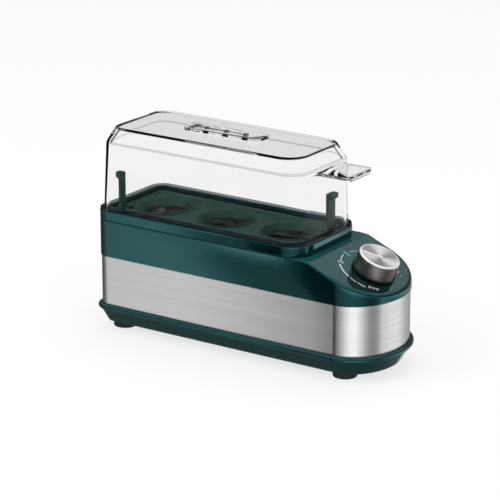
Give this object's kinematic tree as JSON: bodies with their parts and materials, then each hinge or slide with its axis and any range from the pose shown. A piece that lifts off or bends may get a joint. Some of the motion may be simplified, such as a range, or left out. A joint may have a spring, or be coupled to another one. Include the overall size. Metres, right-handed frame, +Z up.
{
  "type": "electric egg cooker",
  "caption": "Slim electric egg cooker with a steel band, a sloped control deck with a knob, a lift-out egg tray over a boiling dish, and a clear lift-off lid.",
  "frame": {"origin": "on the table, at the centre of the object's footprint", "axes": "+X runs along the body towards the control knob, +Y points to the back, where the cord gland is, and +Z is up"},
  "size_m": [0.2148, 0.0762, 0.137],
  "materials": {
    "green_plastic": "glossy dark teal",
    "tray_plastic": "semi-gloss dark green",
    "clear_plastic": "clear, faintly smoky",
    "band_steel": "brushed lengthwise",
    "dish_steel": "satin",
    "zinc_steel": "zinc plated",
    "knob_aluminium": "spun top, polished side",
    "plate_aluminium": "cast",
    "black_plastic": "satin black",
    "white_plastic": "satin white",
    "foot_rubber": "matt",
    "gland_rubber": "matt black",
    "silicone": "matt grey",
    "steatite": "unglazed",
    "wire_red": "insulation",
    "wire_white": "insulation",
    "wire_blue": "insulation"
  },
  "bodies": {
    "base": {"base_pan": "green_plastic", "foot_front_left": "foot_rubber", "foot_front_right": "foot_rubber", "foot_rear_left": "foot_rubber", "foot_rear_right": "foot_rubber", "base_screw_1": "zinc_steel", "base_screw_2": "zinc_steel", "base_screw_3": "zinc_steel", "base_screw_4": "zinc_steel", "steel_band": "band_steel", "cord_gland": "gland_rubber", "upper_housing": "green_plastic", "heater_collar": "green_plastic", "collar_screw_1": "zinc_steel", "collar_screw_2": "zinc_steel", "collar_screw_3": "zinc_steel", "collar_screw_4": "zinc_steel", "boiling_dish": "dish_steel", "dish_gasket": "silicone", "heater_plate": "plate_aluminium", "heating_element": "zinc_steel", "element_pin_near": "zinc_steel", "element_pin_far": "zinc_steel", "element_strap_left": "zinc_steel", "element_strap_right": "zinc_steel", "strap_screw_left": "zinc_steel", "strap_screw_right": "zinc_steel", "thermostat": "steatite", "thermal_fuse": "white_plastic", "fuse_clip": "zinc_steel", "terminal_block": "steatite", "block_screw": "zinc_steel", "regulator_bracket": "zinc_steel", "regulator": "steatite", "deck_screw_near": "zinc_steel", "deck_screw_far": "zinc_steel", "wire_block_regulator": "wire_red", "wire_regulator_thermostat": "wire_red", "wire_thermostat_element": "wire_white", "wire_element_fuse": "wire_white", "wire_fuse_block": "wire_blue"},
    "knob": {"control_shaft": "zinc_steel", "shaft_clip": "zinc_steel", "knob_core": "black_plastic", "knob_cap": "knob_aluminium", "knob_pointer": "white_plastic"},
    "egg_tray": {"egg_tray": "tray_plastic"},
    "lid": {"lid_shell": "clear_plastic"}
  },
  "joints": [
    {"name": "lid_lift", "type": "slide", "parent": "base", "child": "lid", "axis": [0, 0, 1], "range_m": [0, 0.08]},
    {"name": "tray_lift", "type": "slide", "parent": "base", "child": "egg_tray", "axis": [0, 0, 1], "range_m": [0, 0.018]},
    {"name": "knob_turn", "type": "hinge", "parent": "base", "child": "knob", "pos_m": [0.08458, 0, 0.06343], "axis": [0.3907, 0, 0.9205], "range_deg": [-38, 192]}
  ]
}
